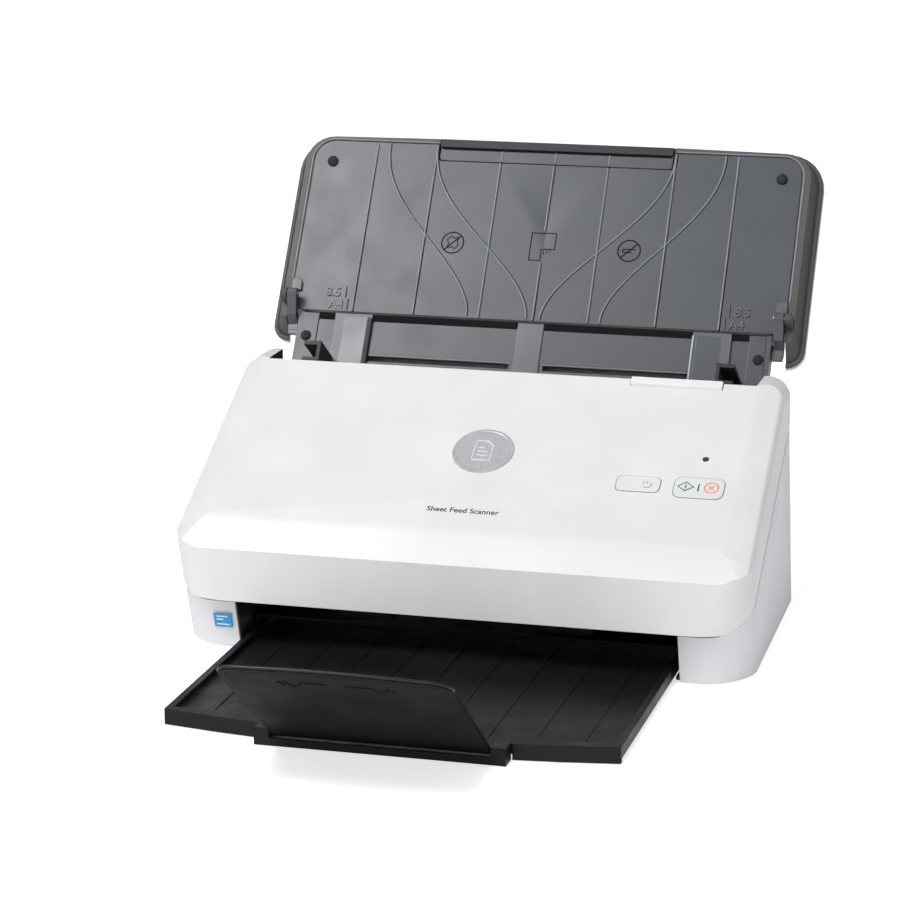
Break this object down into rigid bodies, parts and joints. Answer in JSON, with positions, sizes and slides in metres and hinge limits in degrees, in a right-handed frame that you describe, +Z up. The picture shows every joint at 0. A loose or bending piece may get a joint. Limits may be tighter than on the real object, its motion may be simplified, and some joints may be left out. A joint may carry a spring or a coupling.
{
  "type": "sheet fed document scanner",
  "caption": "Desktop sheet fed scanner with a folding upright input tray, sliding paper guides, a hinged front cover with buttons and a pull-out output tray with a paper stop flap.",
  "frame": {"origin": "middle of the bounding box in plan, on the plane of the feet", "axes": "+X to the object's right seen from behind its front, +Y to the back, away from the output tray, +Z up"},
  "size_m": [0.315, 0.4728, 0.2473],
  "materials": {
    "base_shell": "satin moulded white",
    "rear_cover": "satin moulded white",
    "bottom_cover": "satin moulded charcoal",
    "feed_deck": "satin moulded slate grey",
    "lower_paper_guide": "satin",
    "chassis_plate_left": "zinc-plated sheet",
    "chassis_plate_right": "zinc-plated sheet",
    "drive_motor": "zinc-plated can",
    "drive_belt": "matt",
    "lower_scan_bar": "matt",
    "lower_scan_glass": "polished",
    "main_board": "solder mask",
    "usb_port": "plated shell",
    "power_jack": "moulded",
    "foot_front_left": "matt",
    "foot_front_right": "matt",
    "foot_rear_left": "matt",
    "foot_rear_right": "matt",
    "deck_bumper_left": "matt",
    "deck_bumper_right": "matt",
    "cover_pin_left": "ground",
    "cover_pin_right": "ground",
    "tray_pin_left": "ground",
    "tray_pin_right": "ground",
    "feed_shaft": "ground",
    "feed_pulley": "natural acetal",
    "feed_tyre": "fine-ground",
    "drive_shaft": "ground",
    "drive_pulley": "natural acetal",
    "drive_tyre_left": "fine-ground",
    "drive_tyre_right": "fine-ground",
    "exit_shaft": "ground",
    "exit_pulley": "natural acetal",
    "exit_tyre_left": "fine-ground",
    "exit_tyre_right": "fine-ground",
    "motor_pulley": "turned",
    "front_cover": "satin moulded white",
    "control_board": "solder mask",
    "status_light": "tinted lens",
    "cover_inner_plate": "satin",
    "upper_scan_bar": "matt",
    "upper_scan_glass": "polished",
    "separation_shaft": "ground",
    "separation_roller": "fine-ground",
    "pinch_roller": "natural acetal",
    "power_button": "satin moulded white",
    "scan_button": "satin moulded white",
    "cover_latch": "satin moulded white",
    "input_tray_panel": "satin moulded slate grey",
    "input_tray_back": "satin moulded white",
    "tray_bumper_left": "matt",
    "tray_bumper_right": "matt",
    "input_extension": "satin moulded slate grey",
    "paper_guide_left": "satin moulded slate grey",
    "paper_guide_right": "satin moulded slate grey",
    "guide_pinion": "natural acetal",
    "output_tray": "fine-grained charcoal",
    "output_extension": "fine-grained charcoal",
    "paper_stop": "fine-grained charcoal"
  },
  "bodies": {
    "housing": {"base_shell": "base_shell", "rear_cover": "rear_cover", "bottom_cover": "bottom_cover", "feed_deck": "feed_deck", "lower_paper_guide": "lower_paper_guide", "chassis_plate_left": "chassis_plate_left", "chassis_plate_right": "chassis_plate_right", "drive_motor": "drive_motor", "drive_belt": "drive_belt", "lower_scan_bar": "lower_scan_bar", "lower_scan_glass": "lower_scan_glass", "main_board": "main_board", "usb_port": "usb_port", "power_jack": "power_jack", "foot_front_left": "foot_front_left", "foot_front_right": "foot_front_right", "foot_rear_left": "foot_rear_left", "foot_rear_right": "foot_rear_right", "deck_bumper_left": "deck_bumper_left", "deck_bumper_right": "deck_bumper_right", "cover_pin_left": "cover_pin_left", "cover_pin_right": "cover_pin_right", "tray_pin_left": "tray_pin_left", "tray_pin_right": "tray_pin_right"},
    "feed_roller": {"feed_shaft": "feed_shaft", "feed_pulley": "feed_pulley", "feed_tyre": "feed_tyre"},
    "drive_roller": {"drive_shaft": "drive_shaft", "drive_pulley": "drive_pulley", "drive_tyre_left": "drive_tyre_left", "drive_tyre_right": "drive_tyre_right"},
    "exit_roller": {"exit_shaft": "exit_shaft", "exit_pulley": "exit_pulley", "exit_tyre_left": "exit_tyre_left", "exit_tyre_right": "exit_tyre_right"},
    "motor_rotor": {"motor_pulley": "motor_pulley"},
    "cover": {"front_cover": "front_cover", "control_board": "control_board", "status_light": "status_light", "cover_inner_plate": "cover_inner_plate", "upper_scan_bar": "upper_scan_bar", "upper_scan_glass": "upper_scan_glass"},
    "separator": {"separation_shaft": "separation_shaft", "separation_roller": "separation_roller"},
    "pinch": {"pinch_roller": "pinch_roller"},
    "power_key": {"power_button": "power_button"},
    "scan_key": {"scan_button": "scan_button"},
    "latch": {"cover_latch": "cover_latch"},
    "tray": {"input_tray_panel": "input_tray_panel", "input_tray_back": "input_tray_back", "tray_bumper_left": "tray_bumper_left", "tray_bumper_right": "tray_bumper_right"},
    "tray_extension": {"input_extension": "input_extension"},
    "guide_left": {"paper_guide_left": "paper_guide_left"},
    "guide_right": {"paper_guide_right": "paper_guide_right"},
    "pinion": {"guide_pinion": "guide_pinion"},
    "outlet_tray": {"output_tray": "output_tray"},
    "outlet_extension": {"output_extension": "output_extension"},
    "stop_flap": {"paper_stop": "paper_stop"}
  },
  "joints": [
    {"name": "cover_hinge", "type": "hinge", "parent": "housing", "child": "cover", "pos_m": [0, -0.01607, 0.0326], "axis": [1, 0, 0], "range_deg": [0, 85]},
    {"name": "tray_hinge", "type": "hinge", "parent": "housing", "child": "tray", "pos_m": [0, 0.16014, 0.16342], "axis": [-1, 0, 0], "range_deg": [-153, 0]},
    {"name": "tray_extension_slide", "type": "slide", "parent": "tray", "child": "tray_extension", "axis": [0, 0.549, 0.8358], "range_m": [0, 0.06]},
    {"name": "guide_left_slide", "type": "slide", "parent": "housing", "child": "guide_left", "axis": [1, 0, 0], "range_m": [0, 0.075]},
    {"name": "guide_right_slide", "type": "slide", "parent": "housing", "child": "guide_right", "axis": [1, 0, 0], "range_m": [-0.075, 0]},
    {"name": "guide_pinion_spin", "type": "hinge", "parent": "housing", "child": "pinion", "pos_m": [0, 0.15037, 0.1276], "axis": [0, -0.8358, 0.549], "range_deg": [-600, 0]},
    {"name": "output_tray_slide", "type": "slide", "parent": "housing", "child": "outlet_tray", "axis": [0, -1, 0], "range_m": [-0.136, 0]},
    {"name": "output_extension_slide", "type": "slide", "parent": "outlet_tray", "child": "outlet_extension", "axis": [0, -1, 0], "range_m": [0, 0.06]},
    {"name": "paper_stop_hinge", "type": "hinge", "parent": "outlet_extension", "child": "stop_flap", "pos_m": [0, -0.15327, 0.0076], "axis": [1, 0, 0], "range_deg": [-143.8, 0]},
    {"name": "power_button_press", "type": "slide", "parent": "cover", "child": "power_key", "axis": [0, 0.4948, -0.869], "range_m": [0, 0.0008], "stiffness_N_per_m": 600},
    {"name": "scan_button_press", "type": "slide", "parent": "cover", "child": "scan_key", "axis": [0, 0.4948, -0.869], "range_m": [0, 0.0008], "stiffness_N_per_m": 600},
    {"name": "cover_latch_lift", "type": "slide", "parent": "cover", "child": "latch", "axis": [0, 0, 1], "range_m": [0, 0.003], "stiffness_N_per_m": 300},
    {"name": "drive_spin", "type": "hinge", "parent": "housing", "child": "drive_roller", "pos_m": [0, 0.0783, 0.05832], "axis": [1, 0, 0], "continuous": true},
    {"name": "feed_spin", "type": "hinge", "parent": "housing", "child": "feed_roller", "pos_m": [0, 0.10975, 0.07227], "axis": [1, 0, 0], "continuous": true},
    {"name": "exit_spin", "type": "hinge", "parent": "housing", "child": "exit_roller", "pos_m": [0, 0.0163, 0.02405], "axis": [1, 0, 0], "continuous": true},
    {"name": "motor_spin", "type": "hinge", "parent": "housing", "child": "motor_rotor", "pos_m": [0, 0.08833, 0.029], "axis": [1, 0, 0], "continuous": true},
    {"name": "separator_spin", "type": "hinge", "parent": "cover", "child": "separator", "pos_m": [0, 0.0994, 0.091], "axis": [1, 0, 0], "continuous": true},
    {"name": "pinch_spin", "type": "hinge", "parent": "cover", "child": "pinch", "pos_m": [0, 0.07133, 0.07092], "axis": [1, 0, 0], "continuous": true}
  ],
  "couplings": [
    {"joint": "guide_right_slide", "follows": "guide_left_slide", "ratio": -1},
    {"joint": "guide_pinion_spin", "follows": "guide_left_slide", "rad_per_m": -138.89},
    {"joint": "feed_spin", "follows": "drive_spin", "ratio": 0.8},
    {"joint": "exit_spin", "follows": "drive_spin", "ratio": 1},
    {"joint": "motor_spin", "follows": "drive_spin", "ratio": 1.6},
    {"joint": "separator_spin", "follows": "drive_spin", "ratio": -0.88},
    {"joint": "pinch_spin", "follows": "drive_spin", "ratio": -1.3333}
  ]
}
